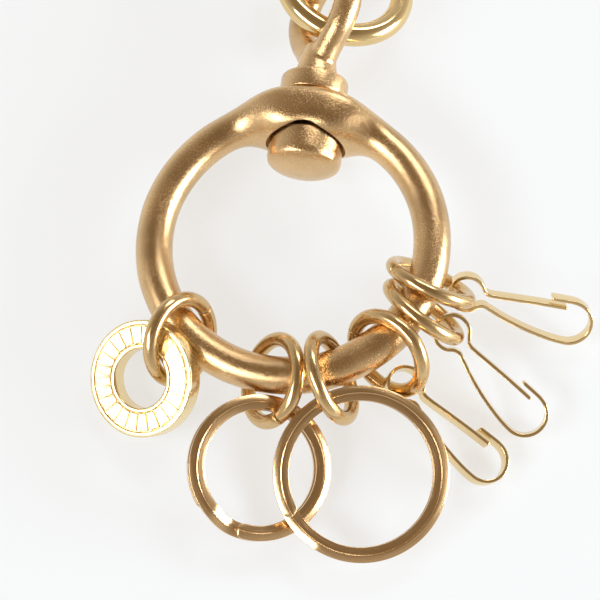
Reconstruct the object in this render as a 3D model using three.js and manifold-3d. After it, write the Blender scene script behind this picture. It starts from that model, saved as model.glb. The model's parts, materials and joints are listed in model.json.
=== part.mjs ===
// Brass key holder: a cast ring with a swivel, carrying a charm, two split rings and three snap clips
// on six jump rings. Millimetres, +Z up, the whole object lying on the plane z = 0.
// It is laid out round the foot of the cast ring's centre, with +Y towards the swivel, and the finished
// group is moved at the end so that the origin is the middle of the base of its bounding box.
import * as THREE from 'three';
import { mergeVertices } from 'three/addons/utils/BufferGeometryUtils.js';
import Module from 'manifold-3d';

const wasm = await Module();
wasm.setup();

// ---- driving dimensions -------------------------------------------------------------------------
const MAIN = { radius: 24.8, stock: 3.3, height: 8.2, lean: 5.3 };      // lean: right side up, degrees
// The boss is a stretch of the ring that grows taller and squarer; its seats are cut a little wide.
const BOSS = {
  angle: 82.5, spread: 11, halfHeight: 8, inward: 3, outward: 0.5,
  bore: 3.3, outer: 27.9, inner: 21.1, cut: 6,
};
const SQUARENESS = { across: 0.45, upright: 0.2 };
const SEAT_CLEARANCE = 0.5;
const COLLAR = { radius: 6.2, start: 28.2, end: 32.0, edge: 0.4 };
const STEM = { radius: 3.0, end: 20.5 };
const NECK = { radius: 3.9, top: 38.6, topRadius: 2.9, fillet: 0.2, filletEnd: 34 };
const EYE = { wire: 2.55, twist: 50 };                                  // twist about the swivel axis
const HEAD = { radius: 6.75, crown: 6.55, top: 20.2, shoulder: 15.6, tip: 13.4, edge: 0.5 };
const LINK = { radius: 11.3, wire: 2.2 };
const JUMP = { radius: 7.25, wire: 1.4, splitGap: 0.3 };
const CHARM = { outer: 10.3, hole: 5.1, thickness: 3.3, rim: 0.8, lip: 1.5, recess: 0.35, slope: 0.2 };
const CHARM_EDGE = { outer: 0.3, hole: 0.8 };
// Split-ring wire is thick along a crest in the middle and thin at its edges.
const SPLIT = { radial: 2.6, thick: 1.35, edge: 0.7, pitch: 1.47, step: 26, endGap: 3 };
const SPLIT_RING_RADIUS = { split_ring_small: 12.5, split_ring_large: 15.0 };
const CLIP = { thick: 0.8, width: 2.8, eye: 3.1, bend: 3.95, bendCentre: [18.9, -0.35] };

// ---- fineness: sides round a section, and steps along a piece ------------------------------------------
const FINE = {
  ring: [14, 96], link: [10, 40], jump: [8, 30], eye: [10, 18],
  turned: 28, charm: 32, split: 64, hook: 60, latch: 8,
};

// ---- where each piece lies: centres in mm, directions in degrees ----------------------------------
// A jump ring hangs at an angle round the cast ring, its centre moved out and up from the stock's
// centre; "azimuth" and "elevation" give the direction its plane faces, "split" where its butt is.
const JUMP_RINGS = {
  jump_ring_a: { at: 222.8, out: 1.8, up: 1.25, azimuth: -28.5, elevation: 31.5, split: 53 },
  jump_ring_b: { at: 262.5, out: 0.95, up: -0.2, azimuth: 180, elevation: 37, split: 288 },
  jump_ring_c: { at: 285, out: 1.75, up: 0.7, azimuth: 12, elevation: 27, split: 75 },
  jump_ring_d: { at: 308.2, out: 2.1, up: -0.6, azimuth: 225, elevation: 26.5, split: 142 },
  jump_ring_e: { at: 329.7, out: 1.85, up: -1.15, azimuth: 48, elevation: 29.5, split: 80 },
  jump_ring_f: { at: 341.9, out: 0.9, up: -1.2, azimuth: 61.5, elevation: 32, split: 190 },
};
// "end" is where the upper turn's free end is, and "hand" the way the wire runs from it.
const SPLIT_RINGS = {
  split_ring_small: { centre: [-5.55, -40.4, 5.35], azimuth: -34, elevation: 70.5, end: 250, hand: 1 },
  split_ring_large: { centre: [11.75, -41.8, 6.6], azimuth: -75.5, elevation: 75.5, end: 212, hand: -1 },
};
const CHARM_AT = { centre: [-25.6, -24.7, 6.2], azimuth: 213.5, elevation: 58.5 };
const SNAP_CLIPS = {
  snap_clip_1: { eye: [30.85, -8.8, 6.7], yaw: -13.5, pitch: 8, roll: 40 },
  snap_clip_2: { eye: [27.9, -16.75, 7.85], yaw: -46, pitch: 14.5, roll: 21 },
  snap_clip_3: { eye: [19.5, -25.85, 5.9], yaw: -42, pitch: 11, roll: -4.5 },
};
const LINK_AT = { centre: [9.8, 53.05, 5.7], azimuth: 38, elevation: 74 };

// ---- materials: cast, drawn and polished brass ----------------------------------------------------
const brass = (color, roughness) => new THREE.MeshStandardMaterial({ color, roughness, metalness: 1 });
const MATERIAL = {
  cast: brass(0xb8935a, 0.42),
  wire: brass(0xbd9a5c, 0.34),
  splitRing: brass(0xad8a52, 0.36),
  polished: brass(0xd9bf85, 0.2),
  clip: brass(0xe3c98d, 0.22),
  charm: brass(0xeadfc4, 0.3),
};

// ---- helpers --------------------------------------------------------------------------------------
const rad = THREE.MathUtils.degToRad;
const Z = new THREE.Vector3(0, 0, 1);

function direction(azimuth, elevation) {
  const level = Math.cos(rad(elevation));
  return new THREE.Vector3(
    level * Math.cos(rad(azimuth)), level * Math.sin(rad(azimuth)), Math.sin(rad(elevation)),
  );
}

// A straight bar of the given section, 0 to 1 long, with each of its points moved by place(x, y, t).
function sweep(section, steps, place) {
  const bar = new THREE.ExtrudeGeometry(section, { depth: 1, steps, bevelEnabled: false });
  const points = bar.attributes.position;
  for (let i = 0; i < points.count; i++) {
    const p = place(points.getX(i), points.getY(i), points.getZ(i));
    points.setXYZ(i, p.x, p.y, p.z);
  }
  bar.computeVertexNormals();
  return bar;
}

function roundSection(radius, sides) {
  return new THREE.Shape(Array.from({ length: sides }, (_, i) => {
    const a = (i * 2 * Math.PI) / sides;
    return new THREE.Vector2(radius * Math.cos(a), radius * Math.sin(a));
  }));
}

// A body turned about Y from the points [radius, distance along Y].
function turned(profile, sides) {
  return new THREE.LatheGeometry(profile.map(([r, along]) => new THREE.Vector2(r, along)), sides);
}

// A solid of the manifold library, and back.
function toSolid(geometry) {
  const bare = geometry.clone();
  bare.deleteAttribute('normal');
  bare.deleteAttribute('uv');
  const welded = mergeVertices(bare, 1e-4);
  return new wasm.Manifold(new wasm.Mesh({
    numProp: 3,
    vertProperties: new Float32Array(welded.attributes.position.array),
    triVerts: new Uint32Array(welded.index.array),
  }));
}

function toGeometry(solid) {
  const mesh = solid.getMesh();
  const geometry = new THREE.BufferGeometry();
  geometry.setAttribute('position', new THREE.BufferAttribute(new Float32Array(mesh.vertProperties), 3));
  geometry.setIndex(new THREE.BufferAttribute(new Uint32Array(mesh.triVerts), 1));
  const flat = geometry.toNonIndexed();
  flat.computeVertexNormals();
  return flat;
}

const model = new THREE.Group();

function add(name, geometry, material, parent = model) {
  const mesh = new THREE.Mesh(geometry, material);
  mesh.name = name;
  parent.add(mesh);
  return mesh;
}

function face(mesh, { centre, azimuth, elevation }) {
  mesh.position.set(...centre);
  mesh.quaternion.setFromUnitVectors(Z, direction(azimuth, elevation));
}

// ---- cast ring and swivel -------------------------------------------------------------------------
// This group is the cast ring's own frame: its centre, its plane, and +Y along the swivel's axis.
const castFrame = new THREE.Group();
castFrame.position.set(0, 0, MAIN.height);
castFrame.rotation.set(0, rad(-MAIN.lean), rad(BOSS.angle - 90), 'YXZ');
model.add(castFrame);

// Turned bodies are made about +Y, which is the swivel's axis.
function plug(radius, from, to) {
  return toSolid(turned([[0, from], [radius, from], [radius, to], [0, to]], FINE.turned));
}

// Round stock that flares at +Y into a tall boss with flatter faces, which reaches inward round the head.
function mainRing() {
  const ring = new THREE.TorusGeometry(MAIN.radius, MAIN.stock, ...FINE.ring);
  const points = ring.attributes.position;
  const swell = (value, power) => Math.sign(value) * Math.abs(value) ** power;
  for (let i = 0; i < points.count; i++) {
    const x = points.getX(i);
    const y = points.getY(i);
    const reach = Math.hypot(x, y);
    const flare = Math.exp(-((MAIN.radius * Math.atan2(x, y) / BOSS.spread) ** 4));
    const across = (reach - MAIN.radius) / MAIN.stock;
    const upright = points.getZ(i) / MAIN.stock;
    const height = MAIN.stock + (BOSS.halfHeight - MAIN.stock) * flare;
    const width = MAIN.stock + (across < 0 ? BOSS.inward : BOSS.outward) * flare;
    const scale = (MAIN.radius + width * swell(across, 1 - SQUARENESS.across * flare)) / reach;
    points.setXYZ(i, x * scale, y * scale, height * swell(upright, 1 - SQUARENESS.upright * flare));
  }
  const bore = plug(BOSS.bore, BOSS.inner - BOSS.cut, BOSS.outer + BOSS.cut);
  const collarSeat = plug(COLLAR.radius + SEAT_CLEARANCE, BOSS.outer, BOSS.outer + BOSS.cut);
  const headSeat = plug(HEAD.radius + SEAT_CLEARANCE, BOSS.inner - BOSS.cut, BOSS.inner);
  return toGeometry(toSolid(ring).subtract(bore).subtract(collarSeat).subtract(headSeat));
}

// Half of the pear-shaped eye, from the neck round to just past its top; side is 1 or -1.
function halfEye(side) {
  const route = [[0, 34], [3.0, 38.2], [6.2, 42.4], [7.3, 46.6], [5.3, 51.4], [1.2, 53.7], [-0.8, 53.8]];
  const points = route.map(([out, along]) => new THREE.Vector3(side * out, along, 0));
  const path = new THREE.CatmullRomCurve3(points);
  const [sides, steps] = FINE.eye;
  const options = { steps, bevelEnabled: false, extrudePath: path };
  return new THREE.ExtrudeGeometry(roundSection(EYE.wire, sides), options);
}

function swivelEye() {
  const { radius, start, end, edge } = COLLAR;
  const neckAndCollar = turned([
    [0, STEM.end], [STEM.radius, STEM.end], [STEM.radius, start], [radius - edge, start],
    [radius, start + edge], [radius, end - edge], [radius - edge, end], [NECK.radius, end],
    [NECK.radius - NECK.fillet, NECK.filletEnd], [NECK.topRadius, NECK.top], [0, NECK.top],
  ], FINE.turned);
  return toGeometry(toSolid(neckAndCollar).add(toSolid(halfEye(1))).add(toSolid(halfEye(-1))));
}

function swivelHead() {
  const { radius, top, shoulder, tip, edge, crown } = HEAD;
  const height = shoulder - tip;
  const dome = [0.92, 0.75, 0.5, 0.25].map((s) => [crown * Math.sqrt(1 - s * s), shoulder - height * s]);
  return turned([
    [0, tip], ...dome, [radius, shoulder + edge], [radius, top - edge], [radius - edge, top], [0, top],
  ], FINE.turned);
}

add('main_ring', mainRing(), MATERIAL.cast, castFrame);
add('swivel_eye', swivelEye(), MATERIAL.cast, castFrame).rotation.y = rad(-EYE.twist);
add('swivel_head', swivelHead(), MATERIAL.cast, castFrame);

const chainLink = new THREE.TorusGeometry(LINK.radius, LINK.wire, ...FINE.link);
face(add('chain_link', chainLink, MATERIAL.polished), LINK_AT);

// ---- jump rings: round wire, open a little at the butt ----------------------------------------------
function jumpRing(split) {
  const { radius, wire, splitGap } = JUMP;
  const [sides, steps] = FINE.jump;
  const open = splitGap / radius;
  return sweep(roundSection(wire, sides), steps, (x, y, t) => {
    const a = rad(split) + open / 2 + (2 * Math.PI - open) * t;
    return new THREE.Vector3((radius + x) * Math.cos(a), (radius + x) * Math.sin(a), -y);
  });
}

for (const [name, ring] of Object.entries(JUMP_RINGS)) {
  const reach = MAIN.radius + ring.out;
  const right = reach * Math.cos(rad(ring.at));
  const centre = [
    right * Math.cos(rad(MAIN.lean)),
    reach * Math.sin(rad(ring.at)),
    MAIN.height + right * Math.sin(rad(MAIN.lean)) + ring.up,
  ];
  face(add(name, jumpRing(ring.split), MATERIAL.wire), { ...ring, centre });
}

// ---- charm: a thick washer, recessed between its rims on both faces --------------------------------
function charm() {
  const { outer, hole, rim, lip, recess, slope } = CHARM;
  const half = CHARM.thickness / 2;
  const floor = half - recess;
  const upper = [
    [outer, half - CHARM_EDGE.outer], [outer - CHARM_EDGE.outer, half], [outer - rim, half],
    [outer - rim - slope, floor], [hole + lip + slope, floor], [hole + lip, half],
    [hole + CHARM_EDGE.hole, half], [hole, half - CHARM_EDGE.hole],
  ];
  const lower = upper.map(([r, z]) => [r, -z]).reverse();
  return turned([...lower, ...upper, lower[0]], FINE.charm).rotateX(Math.PI / 2);
}
face(add('charm', charm(), MATERIAL.charm), CHARM_AT);

// ---- split rings: crested wire wound twice, stepping from one layer to the other --------------------
function splitRing(outer, { end, hand }) {
  const { radial, thick, edge, pitch, step, endGap } = SPLIT;
  const half = radial / 2;
  const lower = [[-half, -edge / 2], [0, -thick / 2], [half, -edge / 2]];
  const upper = lower.map(([x, y]) => [-x, -y]);
  const section = new THREE.Shape([...lower, ...upper].map(([x, y]) => new THREE.Vector2(x, y)));
  const middle = outer - half;
  const total = 720 - step - 2 * endGap;
  const stepStart = 360 - endGap - step;
  return sweep(section, FINE.split, (x, y, t) => {
    const run = total * t;
    const layer = 0.5 - THREE.MathUtils.smoothstep(run, stepStart, stepStart + step);
    const a = rad(end + hand * run);
    const out = middle + x;
    return new THREE.Vector3(out * Math.cos(a), out * Math.sin(a), pitch * layer - hand * y);
  });
}
for (const [name, ring] of Object.entries(SPLIT_RINGS)) {
  face(add(name, splitRing(SPLIT_RING_RADIUS[name], ring), MATERIAL.splitRing), ring);
}

// ---- snap clips: a strip bent on edge, its eye at the origin and its hook along +X ------------------
function strip(points, count) {
  const curve = new THREE.SplineCurve(points.map(([a, b]) => new THREE.Vector2(a, b)));
  const side = (sign) => Array.from({ length: count + 1 }, (_, i) => {
    const tangent = curve.getTangent(i / count);
    const normal = new THREE.Vector2(-tangent.y, tangent.x);
    return curve.getPoint(i / count).addScaledVector(normal, (sign * CLIP.thick) / 2);
  });
  const outline = new THREE.Shape([...side(-1), ...side(1).reverse()]);
  return new THREE.ExtrudeGeometry(outline, { depth: CLIP.width, bevelEnabled: false })
    .translate(0, 0, -CLIP.width / 2);
}

function arc([cx, cy], radius, from, to, count) {
  return Array.from({ length: count + 1 }, (_, i) => {
    const a = rad(from + ((to - from) * i) / count);
    return [cx + radius * Math.cos(a), cy + radius * Math.sin(a)];
  });
}

const HOOK_ROUTE = [
  [2.95, 1.1], ...arc([0, 0], CLIP.eye, 32, 298, 10), [2.5, -1.8], [3.6, -1.45], [4.9, -1.85],
  [8, -2.8], [12, -3.65], [16, -4.15], ...arc(CLIP.bendCentre, CLIP.bend, -90, 90, 8),
  [17.4, 3.45], [14.6, 3.2],
];
const LATCH_ROUTE = [[3.35, 0.92], [4.6, 0.8], [9, 1.3], [13, 1.75], [17.7, 2.15]];

for (const [name, clip] of Object.entries(SNAP_CLIPS)) {
  const body = new THREE.Group();
  body.position.set(...clip.eye);
  body.rotation.set(rad(clip.roll), rad(clip.pitch), rad(clip.yaw), 'ZYX');
  model.add(body);
  add(`${name}_hook`, strip(HOOK_ROUTE, FINE.hook), MATERIAL.clip, body);
  add(`${name}_latch`, strip(LATCH_ROUTE, FINE.latch), MATERIAL.clip, body);
}

// ---- origin: the middle of the base of the whole object's box ---------------------------------------
model.updateMatrixWorld(true);
const box = new THREE.Box3().setFromObject(model, true);
const middle = box.getCenter(new THREE.Vector3());
model.position.set(-middle.x, -middle.y, -box.min.z);
model.updateMatrixWorld(true);

export default model;
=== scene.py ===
"""Looks of the brass key holder: fine meshes, brass materials, floor, light and camera round the CAD frame.

Each piece is modelled in millimetres in its own frame, which is measured from the CAD node that it stands
for, and is then placed in metres. A swept or turned piece also stores "flow", its surface in millimetres
before it was bent or turned, so that draw and turning marks can run along it.
"""

import json
import math

import bmesh
import bpy
import numpy as np
from mathutils import Matrix, Vector, noise


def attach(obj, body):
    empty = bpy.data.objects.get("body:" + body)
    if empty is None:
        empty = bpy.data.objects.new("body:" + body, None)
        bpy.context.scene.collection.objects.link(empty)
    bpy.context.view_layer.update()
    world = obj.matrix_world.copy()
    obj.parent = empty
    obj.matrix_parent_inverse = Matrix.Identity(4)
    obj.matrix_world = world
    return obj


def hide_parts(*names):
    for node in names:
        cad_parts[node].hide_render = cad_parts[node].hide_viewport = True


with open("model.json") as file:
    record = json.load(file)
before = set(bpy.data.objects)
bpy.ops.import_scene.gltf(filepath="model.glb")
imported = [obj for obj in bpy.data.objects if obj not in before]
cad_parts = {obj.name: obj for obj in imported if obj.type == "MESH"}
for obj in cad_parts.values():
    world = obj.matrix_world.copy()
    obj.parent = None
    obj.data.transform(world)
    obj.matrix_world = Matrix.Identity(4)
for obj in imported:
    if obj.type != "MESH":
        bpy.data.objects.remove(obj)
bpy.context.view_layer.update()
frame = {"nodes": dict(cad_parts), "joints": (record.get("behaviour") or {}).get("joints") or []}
joints = {j["name"]: j for j in frame["joints"]}

MM = 0.001
TURN = 2 * math.pi

# ---- sizes in millimetres, angles in degrees --------------------------------------------------------
RING_RADIUS = 24.8
RING_STOCK = 3.3

# The boss: how far its flare spreads along the ring and how steeply it ends, how high and how much wider
# it gets, and its bore. outer and inner are where its flat seats are, and cut is the room past them.
BOSS = {"spread": 11, "steepness": 4, "half_height": 7.96, "inward": 3, "outward": 0.5,
        "bore": 3.3, "outer": 27.9, "inner": 21.1, "cut": 6}
# How far the boss's section goes from round towards square, in each direction.
SQUARENESS = {"across": 0.45, "upright": 0.2}
SEAT_CLEARANCE = 0.5

COLLAR = {"radius": 6.2, "start": 28.2, "end": 32.0, "low_cut": 0.45, "high_cut": 0.6, "crown": 0.15}
STEM = {"radius": 3.0, "end": 20.5}
HEAD = {"radius": 6.75, "top": 20.2, "shoulder": 15.6, "tip": 13.4, "step": 0.35,
        "low_cut": 0.3, "high_cut": 0.5}
# The head's dome starts a little inside its side, at this angle, and goes on towards its tip in even steps.
DOME = {"share": 0.99, "start": 12, "step": 6.5, "count": 12}

# The neck's profile, as (radius, along), and one half of the eye's centreline, with the radius of its wire.
# How the eye is turned is measured from the part of its CAD node past EYE_START.
NECK = [(0, 31.5), (4.1, 31.5), (3.85, 33.5), (3.3, 36.5), (2.7, 38.9), (0, 39.4)]
EYE_ROUTE = [(0, 34), (3.0, 38.2), (6.2, 42.4), (7.3, 46.6), (5.3, 51.4), (1.2, 53.7), (-0.8, 53.8)]
EYE_WIRE = 2.55
EYE_START = 40
FORK_VOXEL = 0.28

LINK = {"radius": 11.28, "wire": 2.16}

# The butt's edges are rounded by edge, and its ends are offset out of line over the last run of the wire.
JUMP = {"radius": 7.25, "wire": 1.31, "gap": 0.22, "edge": 0.16, "offset": 0.05, "run": 8}
# How an end is drawn in: (share of the edge, scale of the wire).
JUMP_END = [(0, 0.9), (0.3, 0.955), (1, 1)]
# Where each jump ring's butt is, and which rings have theirs offset the other way.
JUMP_SPLITS = {"a": 53, "b": 288, "c": 75, "d": 142, "e": 80, "f": 190}
JUMP_OTHER_WAY = "bdf"

# Crested wire: its faces rise from edge to thick at a crest, and fall to a shelf behind it. One turn goes
# over to the other layer within step, end_gap away from the wire's ends.
SPLIT = {"radial": 2.6, "thick": 1.35, "edge": 0.7, "shelf_drop": 0.14, "crest": 0.2, "groove": 0.04,
         "corner": 0.06, "pitch": 1.47, "step": 26, "end_gap": 3}
# The rounded ends: their least width, and how their height starts and grows.
SPLIT_TIP = {"angles": range(0, 96, 12), "width": 0.12, "height": 0.82, "rise": 0.18}
# Each split ring's outer radius, where its upper end is, and which way round its wire runs.
SPLIT_RINGS = {"small": (12.5, 250, 1), "large": (15.0, 212, -1)}

CHARM = {"outer": 10.19, "hole": 5.1, "thickness": 3.3, "rim": 0.8, "lip": 0.75, "recess": 0.35,
         "slope": 0.12}
# How much each corner of the charm's upper half is rounded, from the outer edge to the hole.
CHARM_CUTS = [0.3, 0.1, 0.06, 0.06, 0.1, 0.55]
RELIEF = {"bars": 24, "margin": 0.22, "share": 0.39, "corner": 0.25, "sunk": 0.1}
# A bar's rows above its root: (depth under the charm's face, scale of the outline).
RELIEF_ROWS = [(0.12, 0.99), (0.03, 0.96), (0, 0.93), (0, 0.88)]
RELIEF_ROOT_SCALE = 1.05

# The clip's strip, and the centrelines of its round eye and of the hook's bend.
CLIP = {"thick": 0.6, "width": 2.8, "corner": 0.14, "eye": 3.1, "bend": 3.86,
        "bend_centre": (18.9, -0.35)}
# The rounded ends of the strip: how their width starts and grows, and their least thickness.
CLIP_TIP = {"angles": range(0, 100, 20), "width": 0.86, "rise": 0.14, "thick": 0.1}
CLIP_HINGE = (3.15, 0.95)
LATCH_ROUTE = [CLIP_HINGE, (4.6, 0.8), (9, 1.3), (13, 1.75), (17.7, 2.15)]


# ---- mesh helpers -----------------------------------------------------------------------------------
def smooth_step(x, low, high):
    t = min(max((x - low) / (high - low), 0.0), 1.0)
    return t * t * (3 - 2 * t)


def corner_curve(before, corner, after, cut, steps=4, share=0.45):
    """A curve in place of a corner. It starts `cut` before it, or this share of the side if that is less."""
    c = Vector(corner)
    back, ahead = Vector(before) - c, Vector(after) - c
    a = c + back.normalized() * min(cut, back.length * share)
    b = c + ahead.normalized() * min(cut, ahead.length * share)
    curve = []
    for k in range(steps + 1):
        t = k / steps
        curve.append(a * (1 - t) ** 2 + c * 2 * t * (1 - t) + b * t ** 2)
    return curve


def rounded(corners, cut, steps=4):
    """The closed outline with each corner rounded."""
    out = []
    for i, corner in enumerate(corners):
        out += corner_curve(corners[i - 1], corner, corners[(i + 1) % len(corners)], cut, steps)
    return out


def soft_profile(points, cut=0.2):
    """An open profile with its inner corners rounded; a point may give its own cut as a third number."""
    out = [points[0]]
    for before, corner, after in zip(points, points[1:], points[2:]):
        own_cut = corner[2] if len(corner) > 2 else cut
        out += corner_curve(before[:2], corner[:2], after[:2], own_cut)
    return out + [points[-1]]


def circle(radius, sides):
    return [Vector((radius * math.cos(TURN * i / sides), radius * math.sin(TURN * i / sides)))
            for i in range(sides)]


def spline(points, count):
    """A smooth open line through the points, as count + 1 points: a uniform Catmull-Rom curve."""
    padded = [2 * np.array(points[0]) - np.array(points[1]), *map(np.array, points),
              2 * np.array(points[-1]) - np.array(points[-2])]
    out = []
    spans = len(points) - 1
    for k in range(count + 1):
        u = spans * k / count
        i = min(int(u), spans - 1)
        t = u - i
        a, b, c, d = padded[i:i + 4]
        out.append(0.5 * (2 * b + (c - a) * t + (2 * a - 5 * b + 4 * c - d) * t ** 2
                          + (3 * b - a - 3 * c + d) * t ** 3))
    return out


def distances(line):
    """How far along the line each of its points is."""
    out = [0]
    for a, b in zip(line, line[1:]):
        out.append(out[-1] + (b - a).length)
    return out


def arc(centre, radius, start, end, count):
    angles = [math.radians(start + (end - start) * i / count) for i in range(count + 1)]
    return [(centre[0] + radius * math.cos(a), centre[1] + radius * math.sin(a)) for a in angles]


def add_object(name, bm):
    """An object of the scene with the bmesh as its mesh."""
    mesh = bpy.data.meshes.new(name)
    bm.to_mesh(mesh)
    bm.free()
    made = bpy.data.objects.new(name, mesh)
    bpy.context.scene.collection.objects.link(made)
    return made


def skin(name, rows, flows=None, loop=False):
    """A mesh over rows of points. A row of one point is a tip; loop joins the last row to the first."""
    bm = bmesh.new()
    flow = bm.verts.layers.float_vector.new("flow")
    made = []
    for r, row in enumerate(rows):
        made.append([bm.verts.new(p) for p in row])
        for i, v in enumerate(made[-1]):
            v[flow] = flows[r][i] if flows else row[i]
    pairs = list(zip(made, made[1:])) + ([(made[-1], made[0])] if loop else [])
    for a, b in pairs:
        count = max(len(a), len(b))
        for i in range(count):
            j = (i + 1) % count
            corners = [a[i % len(a)], a[j % len(a)], b[j % len(b)], b[i % len(b)]]
            bm.faces.new(list(dict.fromkeys(corners)))
    bmesh.ops.recalc_face_normals(bm, faces=bm.faces)
    return add_object(name, bm)


def swept(name, section, stations, place, loop=False):
    """Sweeps the section, a list of 2-D points, along the stations. A station is (s, wide, high): how far
    along it is in mm, and how much the section is scaled there. place(x, y, s) gives the point."""
    rows, flows = [], []
    for s, wide, high in stations:
        bar = [(p[0] * wide, p[1] * high, s) for p in section]
        rows.append([place(*b) for b in bar])
        flows.append(bar)
    if not loop:
        first, last = (0, 0, stations[0][0]), (0, 0, stations[-1][0])
        rows = [[place(*first)], *rows, [place(*last)]]
        flows = [[first], *flows, [last]]
    return skin(name, rows, flows, loop)


def mirrored(end, length):
    return [(length - s, wide, high) for s, wide, high in reversed(end)]


def wire_stations(end, inset, length, steps):
    """Stations of a wire: one end, even steps between the insets, and the other end."""
    middle = [(inset + (length - 2 * inset) * i / steps, 1, 1) for i in range(1, steps)]
    return end + middle + mirrored(end, length)


def turned(name, profile, sides=128, loop=False):
    """Turns the profile, points (radius, along), about Y. Points on the axis become tips."""
    on_axis = 1e-6
    rows, flows = [], []
    for r, along in profile:
        angles = [TURN * i / sides for i in range(sides if r > on_axis else 1)]
        rows.append([(r * math.sin(a), along, r * math.cos(a)) for a in angles])
        flows.append([(r, along, 0)] * len(angles))
    return skin(name, rows, flows, loop)


def uneven(piece, size, depth, seed):
    """Pushes the surface in and out by up to depth, in mm, in soft lumps of about `size` mm."""
    seed_step = (17.3, 5.1, 9.7)
    offset = Vector([seed * step for step in seed_step])
    vertices = piece.data.vertices
    moves = [v.normal * depth * noise.noise(v.co / size + offset) for v in vertices]
    for v, move in zip(vertices, moves):
        v.co += move


def apply_modifiers(piece):
    graph = bpy.context.evaluated_depsgraph_get()
    mesh = bpy.data.meshes.new_from_object(piece.evaluated_get(graph), depsgraph=graph)
    piece.modifiers.clear()
    piece.data = mesh


def combine(piece, operation, others):
    """Joins the others to the piece or cuts them away from it, and removes them."""
    for other in others:
        step = piece.modifiers.new("combine", "BOOLEAN")
        step.operation, step.solver, step.object = operation, "MANIFOLD", other
    apply_modifiers(piece)
    for other in others:
        bpy.data.objects.remove(other)


def set_piece(piece, matrix, material, body, slot, *nodes, sharp=40):
    """Places a piece made in mm, shades it, puts it on the empty of the body it rides on, and hides the CAD
    nodes it stands for.
    """
    piece.data.transform(matrix @ Matrix.Scale(MM, 4))
    for polygon in piece.data.polygons:
        polygon.use_smooth = True
    piece.data.set_sharp_from_angle(angle=math.radians(sharp))
    piece.data.materials.clear()
    piece.data.materials.append(material)
    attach(piece, body)
    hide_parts(*nodes)


# ---- frames measured from the CAD nodes -------------------------------------------------------------
def points_of(node):
    return np.array([v.co[:] for v in frame["nodes"][node].data.vertices], float)


def joint_place(name):
    return Vector(joints[name]["pos_m"]), Vector(joints[name]["axis"]).normalized()


def frame_at(centre, x, y, z):
    return Matrix.Translation(centre) @ Matrix((x, y, z)).transposed().to_4x4()


def ring_frame(node):
    """The frame of a flat ring: its centre, and Z along its axis, tipped straight over from upright."""
    digits = 7
    points = np.unique(points_of(node).round(digits), axis=0)
    mean = points.mean(0)
    _, _, axes = np.linalg.svd(points - mean, full_matrices=False)
    u, v, n = axes
    if n[2] < 0:
        n = -n
    flat = np.stack([(points - mean) @ u, (points - mean) @ v], 1)
    fit = np.c_[2 * flat, np.ones(len(flat))]
    middle = np.linalg.lstsq(fit, (flat ** 2).sum(1), rcond=None)[0]
    centre = mean + middle[0] * u + middle[1] * v
    tip = Vector((0, 0, 1)).rotation_difference(Vector(n))
    return Matrix.Translation(centre) @ tip.to_matrix().to_4x4()


def cast_frame():
    """The cast ring's frame: its centre, Y along the swivel's axis and Z square to its plane."""
    centre, y = joint_place("swivel_spin")
    normal = ring_frame("main_ring").to_3x3() @ Vector((0, 0, 1))
    z = (normal - y * normal.dot(y)).normalized()
    return frame_at(centre, y.cross(z), y, z)


def eye_frame():
    """The cast ring's frame, turned about Y so that the eye lies in its X-Y plane."""
    base = cast_frame()
    local = np.array([(base.inverted() @ Vector(p))[:] for p in points_of("swivel_eye")])
    loop = local[local[:, 1] > EYE_START * MM][:, [0, 2]]
    _, _, axes = np.linalg.svd(loop - loop.mean(0), full_matrices=False)
    return base @ Matrix.Rotation(math.atan2(-axes[0][1], axes[0][0]), 4, "Y")


def clip_frame(number):
    """A clip's frame: the middle of its eye, X towards its bend and Z across its width."""
    hinge, axis = joint_place(f"latch_{number}_open")
    z = -axis
    points = points_of(f"snap_clip_{number}_hook")
    flat = points - np.outer((points - np.array(hinge)) @ np.array(z), np.array(z))
    reach = np.linalg.norm(flat - np.array(hinge), axis=1)
    margin = 0.02 * MM
    far = Vector(flat[reach > reach.max() - margin].mean(0))
    towards_bend = Vector(CLIP["bend_centre"]) - Vector(CLIP_HINGE)
    x = Matrix.Rotation(-math.atan2(towards_bend.y, towards_bend.x), 3, z) @ (far - hinge).normalized()
    y = z.cross(x)
    eye = hinge - (x * CLIP_HINGE[0] + y * CLIP_HINGE[1]) * MM
    return frame_at(eye, x, y, z)


# ---- materials --------------------------------------------------------------------------------------
# Noise values mostly lie within this range. Colour is mixed from fine noise and from patches.
NOISE_RANGE = (0.3, 0.7)
FINE = {"detail": 3.0, "octaves": 0.6, "share": 0.6}
PATCHES = {"scale": 0.12, "detail": 2.0, "octaves": 0.5, "share": 0.4}


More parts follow.
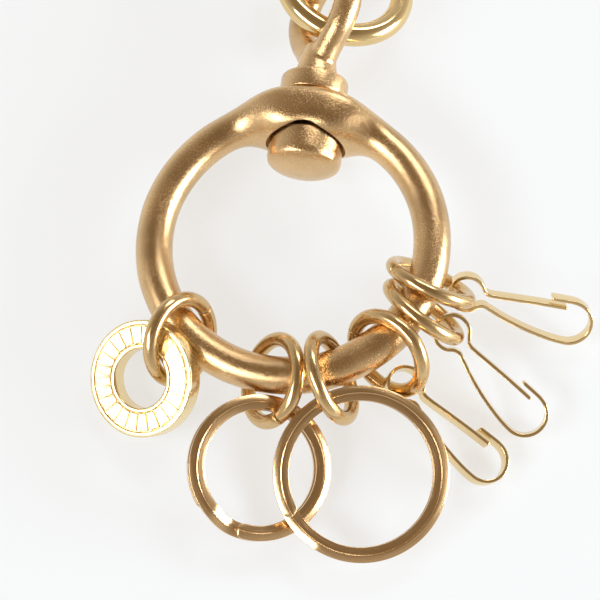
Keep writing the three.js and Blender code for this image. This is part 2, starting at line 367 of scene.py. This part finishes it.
def brass(name, color, roughness, grain, depth, streak=0.0, spread=0.08, tint=0.12):
    """Brass with a cast grain or draw marks: grain is its size in mm, depth its height in mm, and streak
    how far it is drawn out along the piece. spread and tint are how much gloss and colour vary."""
    material = bpy.data.materials.new(name)
    material.use_nodes = True
    nodes, links = material.node_tree.nodes, material.node_tree.links
    shader = nodes["Principled BSDF"]
    shader.inputs["Metallic"].default_value = 1.0

    mapping = nodes.new("ShaderNodeMapping")
    if streak:
        source = nodes.new("ShaderNodeAttribute")
        source.attribute_name = "flow"
        links.new(source.outputs["Vector"], mapping.inputs["Vector"])
        mapping.inputs["Scale"].default_value = (1.0, 1.0, 1.0 / streak)
    else:
        source = nodes.new("ShaderNodeTexCoord")
        links.new(source.outputs["Object"], mapping.inputs["Vector"])
        mapping.inputs["Scale"].default_value = (1 / MM, 1 / MM, 1 / MM)

    def noise_map(scale, detail, octaves):
        node = nodes.new("ShaderNodeTexNoise")
        node.inputs["Scale"].default_value = scale
        node.inputs["Detail"].default_value = detail
        node.inputs["Roughness"].default_value = octaves
        links.new(mapping.outputs["Vector"], node.inputs["Vector"])
        return node.outputs["Fac"]

    def spread_map(value, low, high):
        node = nodes.new("ShaderNodeMapRange")
        node.inputs["From Min"].default_value = NOISE_RANGE[0]
        node.inputs["From Max"].default_value = NOISE_RANGE[1]
        node.inputs["To Min"].default_value = low
        node.inputs["To Max"].default_value = high
        links.new(value, node.inputs["Value"])
        return node.outputs["Result"]

    fine = noise_map(1.0 / grain, FINE["detail"], FINE["octaves"])
    patches = noise_map(PATCHES["scale"], PATCHES["detail"], PATCHES["octaves"])

    tone = nodes.new("ShaderNodeMix")
    tone.data_type = "RGBA"
    tone.inputs["A"].default_value = (*[c * (1 - tint) for c in color], 1)
    tone.inputs["B"].default_value = (*[min(1, c * (1 + tint)) for c in color], 1)
    both = nodes.new("ShaderNodeMath")
    both.operation = "MULTIPLY_ADD"
    links.new(fine, both.inputs[0])
    both.inputs[1].default_value = FINE["share"]
    links.new(spread_map(patches, 0.0, PATCHES["share"]), both.inputs[2])
    links.new(both.outputs["Value"], tone.inputs["Factor"])
    links.new(tone.outputs["Result"], shader.inputs["Base Color"])

    rough = nodes.new("ShaderNodeMath")
    rough.operation = "ADD"
    patch_spread = PATCHES["share"] * spread
    links.new(spread_map(fine, roughness - spread, roughness + spread), rough.inputs[0])
    links.new(spread_map(patches, -patch_spread, patch_spread), rough.inputs[1])
    links.new(rough.outputs["Value"], shader.inputs["Roughness"])

    bump = nodes.new("ShaderNodeBump")
    bump.inputs["Strength"].default_value = 1.0
    bump.inputs["Distance"].default_value = depth * MM
    links.new(fine, bump.inputs["Height"])
    links.new(bump.outputs["Normal"], shader.inputs["Normal"])
    return material


CAST = brass("cast_brass", (0.7, 0.48, 0.25),
             roughness=0.21, grain=0.22, depth=0.05, spread=0.09, tint=0.35)
WIRE = brass("wire_brass", (0.68, 0.48, 0.24),
             roughness=0.22, grain=0.25, depth=0.012, streak=5, spread=0.07, tint=0.25)
SPLIT_WIRE = brass("split_ring_brass", (0.7, 0.48, 0.255),
                   roughness=0.23, grain=0.3, depth=0.008, streak=18, spread=0.07)
POLISHED = brass("polished_brass", (0.8, 0.6, 0.3),
                 roughness=0.13, grain=0.5, depth=0.003, streak=10, spread=0.05)
BRIGHT = brass("clip_brass", (0.84, 0.64, 0.33),
               roughness=0.16, grain=0.3, depth=0.004, streak=20, spread=0.05)
CHARM_GOLD = brass("charm_brass", (0.93, 0.75, 0.44),
                   roughness=0.22, grain=0.25, depth=0.006, spread=0.06)


# ---- cast ring --------------------------------------------------------------------------------------
def cast_ring():
    def swell(value, power):
        """Keeps the sign. A power below 1 pushes the value out towards 1."""
        return math.copysign(abs(value) ** power, value)

    rows = []
    turns, sides = 400, 64
    for i in range(turns):
        angle = TURN * i / turns
        along = RING_RADIUS * math.atan2(math.cos(angle), math.sin(angle))
        flare = math.exp(-((along / BOSS["spread"]) ** BOSS["steepness"]))
        height = RING_STOCK + (BOSS["half_height"] - RING_STOCK) * flare
        row = []
        for k in range(sides):
            across, upright = math.cos(TURN * k / sides), math.sin(TURN * k / sides)
            width = RING_STOCK + BOSS["inward" if across < 0 else "outward"] * flare
            reach = RING_RADIUS + width * swell(across, 1 - SQUARENESS["across"] * flare)
            z = height * swell(upright, 1 - SQUARENESS["upright"] * flare)
            row.append((reach * math.cos(angle), reach * math.sin(angle), z))
        rows.append(row)
    ring = skin("cast_ring", rows, loop=True)

    def plug(radius, start, end):
        return turned("plug", [(0, start), (radius, start), (radius, end), (0, end)], sides=160)

    inside, outside = BOSS["inner"] - BOSS["cut"], BOSS["outer"] + BOSS["cut"]
    combine(ring, "DIFFERENCE", [
        plug(BOSS["bore"], inside, outside),
        plug(COLLAR["radius"] + SEAT_CLEARANCE, BOSS["outer"], outside),
        plug(HEAD["radius"] + SEAT_CLEARANCE, inside, BOSS["inner"]),
    ])
    uneven(ring, size=6.0, depth=0.06, seed=1)
    set_piece(ring, cast_frame(), CAST, "key_ring", "cast_brass", "main_ring")


# ---- swivel -----------------------------------------------------------------------------------------
def eye_arm(side):
    """One half of the eye's wire, from inside the neck to past where it meets the other half."""
    line = [Vector((side * x, y, 0)) for x, y in spline(EYE_ROUTE, count=60)]
    lengths = distances(line)
    just_past = 1e-9

    def place(x, y, s):
        i = max(min(int(np.searchsorted(lengths, s + just_past)), len(line) - 1), 1)
        ahead = (line[min(i + 1, len(line) - 1)] - line[i - 1]).normalized()
        out = Vector((ahead.y, -ahead.x, 0))
        at = line[i - 1].lerp(line[i], (s - lengths[i - 1]) / (lengths[i] - lengths[i - 1]))
        return at + out * x + Vector((0, 0, y))
    stations = [(s, 1, 1) for s in lengths]
    return swept(f"arm_{side}", circle(EYE_WIRE, sides=32), stations, place)


def swivel():
    base = cast_frame()
    fork_frame = eye_frame()
    fork = turned("neck", NECK, sides=64)
    combine(fork, "UNION", [eye_arm(1), eye_arm(-1)])
    fork.name = "swivel_fork"
    remesh = fork.modifiers.new("even", "REMESH")
    remesh.mode, remesh.voxel_size = "VOXEL", FORK_VOXEL
    soft = fork.modifiers.new("soft", "SMOOTH")
    soft.factor, soft.iterations = 0.5, 9
    apply_modifiers(fork)
    uneven(fork, size=5.0, depth=0.1, seed=2)
    set_piece(fork, fork_frame, CAST, "swivel", "cast_brass", "swivel_eye")

    collar = turned("swivel_collar", soft_profile([
        (0, STEM["end"]),
        (STEM["radius"], STEM["end"]),
        (STEM["radius"], COLLAR["start"]),
        (COLLAR["radius"], COLLAR["start"], COLLAR["low_cut"]),
        (COLLAR["radius"], COLLAR["end"], COLLAR["high_cut"]),
        (0, COLLAR["end"] + COLLAR["crown"]),
    ]))
    set_piece(collar, base, CAST, "swivel", "cast_brass", "swivel_eye")

    height = HEAD["shoulder"] - HEAD["tip"]
    dome = []
    for k in reversed(range(DOME["count"])):
        a = math.radians(DOME["start"] + DOME["step"] * k)
        dome.append((HEAD["radius"] * DOME["share"] * math.cos(a), HEAD["shoulder"] - height * math.sin(a)))
    head = turned("swivel_rivet_head", soft_profile([
        (0, HEAD["tip"]),
        *dome,
        (HEAD["radius"], HEAD["shoulder"] + HEAD["step"], HEAD["low_cut"]),
        (HEAD["radius"], HEAD["top"], HEAD["high_cut"]),
        (0, HEAD["top"]),
    ]))
    set_piece(head, base, CAST, "swivel", "cast_brass", "swivel_head", sharp=60)


# ---- rings of wire ----------------------------------------------------------------------------------
def chain_link():
    radius = LINK["radius"]
    length = TURN * radius
    steps = 200

    def place(x, y, s):
        a = s / radius
        return ((radius + x) * math.cos(a), (radius + x) * math.sin(a), y)
    stations = [(length * i / steps, 1, 1) for i in range(steps)]
    link = swept("polished_link", circle(LINK["wire"], sides=48), stations, place, loop=True)
    uneven(link, size=7.0, depth=0.04, seed=3)
    set_piece(link, ring_frame("chain_link"), POLISHED, "chain_link", "polished_brass", "chain_link")


def jump_ring(letter):
    """Round wire closed to a butt, whose two ends are a little out of line."""
    radius, gap, edge = JUMP["radius"], JUMP["gap"], JUMP["edge"]
    length = TURN * radius - gap
    start = math.radians(JUMP_SPLITS[letter])
    side = JUMP["offset"] if letter in JUMP_OTHER_WAY else -JUMP["offset"]

    def place(x, y, s):
        a = start + (gap / 2 + s) / radius
        off = side * (smooth_step(s, length - JUMP["run"], length) - 0.5)
        return ((radius + x) * math.cos(a), (radius + x) * math.sin(a), y + off)
    end = [(share * edge, scale, scale) for share, scale in JUMP_END]
    stations = wire_stations(end, edge, length, steps=150)
    ring = swept(f"jump_ring_{letter}_wire", circle(JUMP["wire"], sides=28), stations, place)
    node = f"jump_ring_{letter}"
    set_piece(ring, ring_frame(node), WIRE, f"jump_{letter}", "wire_brass", node)


def split_ring(size):
    """Crested wire wound twice, with rounded ends. Halfway along it steps from one layer to the other."""
    outer, end, hand = SPLIT_RINGS[size]
    half = SPLIT["radial"] / 2
    middle = outer - half
    edge, crest = SPLIT["edge"] / 2, SPLIT["thick"] / 2
    shelf = crest - SPLIT["shelf_drop"]
    face = [(half, edge), (SPLIT["crest"], crest), (SPLIT["groove"], crest),
            (-SPLIT["groove"], shelf), (-SPLIT["crest"], shelf), (-half, edge)]
    section = rounded([*face, *((x, -y) for x, y in reversed(face))], SPLIT["corner"], steps=2)
    total = math.radians(2 * 360 - SPLIT["step"] - 2 * SPLIT["end_gap"])
    step_start = math.radians(360 - SPLIT["end_gap"] - SPLIT["step"])
    step_end = math.radians(360 - SPLIT["end_gap"])
    length = total * middle

    def place(x, y, s):
        run = s / middle
        layer = 0.5 - smooth_step(run, step_start, step_end)
        a = math.radians(end) + hand * run
        return ((middle + x) * math.cos(a), (middle + x) * math.sin(a), SPLIT["pitch"] * layer - hand * y)
    tip = []
    for angle in SPLIT_TIP["angles"]:
        t = math.radians(angle)
        wide = max(math.sin(t), SPLIT_TIP["width"])
        tip.append((half * (1 - math.cos(t)), wide, SPLIT_TIP["height"] + SPLIT_TIP["rise"] * math.sin(t)))
    stations = wire_stations(tip, half, length, steps=360)
    coil = swept(f"{size}_split_coil", section, stations, place)
    node = f"split_ring_{size}"
    set_piece(coil, ring_frame(node), SPLIT_WIRE, f"{size}_split", "split_ring_brass", node, sharp=50)


# ---- charm ------------------------------------------------------------------------------------------
def charm():
    base = ring_frame("charm")
    upright = base @ Matrix.Rotation(math.pi / 2, 4, "X")
    outer, hole, slope = CHARM["outer"], CHARM["hole"], CHARM["slope"]
    rim_edge, lip_edge = outer - CHARM["rim"], hole + CHARM["lip"]
    half = CHARM["thickness"] / 2
    recess_floor = half - CHARM["recess"]
    upper = [(outer, half), (rim_edge, half), (rim_edge - slope, recess_floor),
             (lip_edge + slope, recess_floor), (lip_edge, half), (hole, half)]
    corners = [(r, -z) for r, z in reversed(upper)] + upper
    cuts = CHARM_CUTS[::-1] + CHARM_CUTS
    profile = []
    for i, corner in enumerate(corners):
        before, after = corners[i - 1], corners[(i + 1) % len(corners)]
        profile += corner_curve(before, corner, after, cuts[i], share=0.48)
    disc = turned("charm_disc", profile, sides=180, loop=True)
    set_piece(disc, upright, CHARM_GOLD, "charm", "charm_brass", "charm", sharp=35)

    # Plain relief on both faces: broad radial bars with narrow grooves between them.
    inner, reach = lip_edge + RELIEF["margin"], rim_edge - RELIEF["margin"]
    wide = RELIEF["share"] * TURN / RELIEF["bars"]
    root = recess_floor - RELIEF["sunk"]
    levels = [(root, RELIEF_ROOT_SCALE), *((half - depth, scale) for depth, scale in RELIEF_ROWS)]
    bars = []
    for face in (1, -1):
        for k in range(RELIEF["bars"]):
            middle = TURN * k / RELIEF["bars"]
            corners = [(r * math.cos(middle + s * wide), r * math.sin(middle + s * wide))
                       for r, s in ((inner, -1), (reach, -1), (reach, 1), (inner, 1))]
            outline = rounded(corners, RELIEF["corner"], steps=3)
            centre = sum(outline, Vector((0, 0))) / len(outline)
            rows = [[centre.to_3d() + Vector((0, 0, face * root))]]
            for z, scale in levels:
                lift = Vector((0, 0, face * z))
                rows.append([(centre + (p - centre) * scale).to_3d() + lift for p in outline])
            rows.append([centre.to_3d() + Vector((0, 0, face * half))])
            bars.append(skin("bar", rows))
    relief = bars[0]
    merged = bmesh.new()
    for bar in bars:
        merged.from_mesh(bar.data)
    merged.to_mesh(relief.data)
    merged.free()
    for bar in bars[1:]:
        bpy.data.objects.remove(bar)
    relief.name = "charm_relief"
    set_piece(relief, base, CHARM_GOLD, "charm", "charm_brass", "charm", sharp=35)


# ---- snap clips -------------------------------------------------------------------------------------
def strip(name, route, count):
    """A flat strip bent on the route; its own ends are rounded off."""
    line = [Vector(p) for p in spline(route, count)]
    lengths = distances(line)

    def place(x, y, s):
        i = min(max(int(np.searchsorted(lengths, s)), 1), len(line) - 1)
        t = (s - lengths[i - 1]) / (lengths[i] - lengths[i - 1])
        before = (line[i] - line[max(i - 2, 0)]).normalized()
        after = (line[min(i + 1, len(line) - 1)] - line[i - 1]).normalized()
        ahead = before.lerp(after, t).normalized()
        at = line[i - 1].lerp(line[i], t)
        return (at.x - ahead.y * y, at.y + ahead.x * y, x)
    wide, thick = CLIP["width"] / 2, CLIP["thick"] / 2
    section = rounded([(-wide, -thick), (wide, -thick), (wide, thick), (-wide, thick)], CLIP["corner"])
    tip = []
    for angle in CLIP_TIP["angles"]:
        t = math.radians(angle)
        high = max(math.sin(t), CLIP_TIP["thick"])
        tip.append((thick * (1 - math.cos(t)), CLIP_TIP["width"] + CLIP_TIP["rise"] * math.sin(t), high))
    middle = [(s, 1, 1) for s in lengths if thick < s < lengths[-1] - thick]
    return swept(name, section, tip + middle + mirrored(tip, lengths[-1]), place)


def snap_clip(number):
    base = clip_frame(number)
    hook_route = [
        CLIP_HINGE,
        *arc((0, 0), CLIP["eye"], start=32, end=298, count=10),
        (2.5, -1.8), (3.6, -1.45), (4.9, -1.85), (8, -2.8), (12, -3.65), (16, -4.15),
        *arc(CLIP["bend_centre"], CLIP["bend"], start=-90, end=90, count=8),
        (17.4, 3.45), (14.6, 3.2),
    ]
    body, latch_body = f"clip_{number}", f"latch_{number}"
    hook = strip(f"clip_{number}_strip", hook_route, count=320)
    set_piece(hook, base, BRIGHT, body, "clip_brass", f"snap_clip_{number}_hook")
    latch = strip(f"clip_{number}_latch_strip", LATCH_ROUTE, count=60)
    set_piece(latch, base, BRIGHT, latch_body, "clip_brass", f"snap_clip_{number}_latch")


# ---- floor, light and camera, in metres -------------------------------------------------------------
def floor():
    """A pale table just under the pieces. It glows, so that it comes out nearly white."""
    reach, drop = 1.6, 0.0001
    bm = bmesh.new()
    bmesh.ops.create_grid(bm, x_segments=1, y_segments=1, size=reach)
    ground = add_object("floor", bm)
    ground.location.z = -drop
    material = bpy.data.materials.new("floor_white")
    material.use_nodes = True
    shader = material.node_tree.nodes["Principled BSDF"]
    # Painted warm shade: the floor glows warm over a cool lit colour, so where the lamps are blocked its
    # shadows come out warm, in place of light thrown back from the brass.
    shader.inputs["Base Color"].default_value = (0.17, 0.21, 0.25, 1)
    shader.inputs["Roughness"].default_value = 0.8
    shader.inputs["Specular IOR Level"].default_value = 0.1
    shader.inputs["Emission Color"].default_value = (1.0, 0.96, 0.92, 1)
    shader.inputs["Emission Strength"].default_value = 0.72
    ground.data.materials.append(material)


def soft_light(name, azimuth, elevation, distance, width, height, power, color=(1, 1, 1)):
    """A soft box that faces the object from that direction."""
    a, e = math.radians(azimuth), math.radians(elevation)
    way = Vector((math.cos(a) * math.cos(e), math.sin(a) * math.cos(e), math.sin(e)))
    data = bpy.data.lights.new(name, "AREA")
    data.shape, data.size, data.size_y = "RECTANGLE", width, height
    data.energy, data.color = power, color
    light = bpy.data.objects.new(name, data)
    light.location = way * distance
    light.rotation_euler = way.to_track_quat("Z", "Y").to_euler()
    bpy.context.scene.collection.objects.link(light)


def lights():
    """Three soft boxes, and a world that goes from pale near the horizon to warm and darker above."""
    soft_light("right_box", azimuth=-8, elevation=15, distance=0.6, width=0.32, height=0.18, power=5.0)
    soft_light("left_box", azimuth=212, elevation=39, distance=0.7, width=0.5, height=0.16, power=3.1,
               color=(1.0, 0.985, 0.96))
    soft_light("back_box", azimuth=66, elevation=42, distance=0.8, width=0.4, height=0.16, power=1.5)
    world = bpy.data.worlds.new("studio")
    world.use_nodes = True
    nodes, links = world.node_tree.nodes, world.node_tree.links
    background = nodes["Background"]
    direction = nodes.new("ShaderNodeTexCoord")
    split = nodes.new("ShaderNodeSeparateXYZ")
    links.new(direction.outputs["Generated"], split.inputs["Vector"])
    height = nodes.new("ShaderNodeMapRange")
    height.inputs["From Min"].default_value = 0.15
    height.inputs["From Max"].default_value = 0.9
    links.new(split.outputs["Z"], height.inputs["Value"])
    sky = nodes.new("ShaderNodeMix")
    sky.data_type = "RGBA"
    sky.inputs["A"].default_value = (0.7, 0.67, 0.63, 1)
    sky.inputs["B"].default_value = (0.27, 0.205, 0.14, 1)
    links.new(height.outputs["Result"], sky.inputs["Factor"])
    links.new(sky.outputs["Result"], background.inputs["Color"])
    bpy.context.scene.world = world


def camera():
    """Looks down at 70 degrees, from opposite the swivel, at a point near the table within the ring."""
    elevation, distance, view_angle = math.radians(70), 0.3071, math.radians(20)
    from_ring_centre = Vector((1.387, -7.945, -8.2)) * MM
    centre, _ = joint_place("swivel_spin")
    way = Vector((0, -math.cos(elevation), math.sin(elevation)))
    data = bpy.data.cameras.new("camera")
    data.angle = view_angle
    data.clip_start, data.clip_end = 0.01, 20
    eye = bpy.data.objects.new("camera", data)
    eye.location = centre + from_ring_centre + way * distance
    eye.rotation_euler = (math.pi / 2 - elevation, 0, 0)
    bpy.context.scene.collection.objects.link(eye)
    bpy.context.scene.camera = eye


bpy.context.scene.view_settings.view_transform = "Standard"
cast_ring()
swivel()
chain_link()
for letter in JUMP_SPLITS:
    jump_ring(letter)
for size in SPLIT_RINGS:
    split_ring(size)
charm()
for number in (1, 2, 3):
    snap_clip(number)
floor()
lights()
camera()
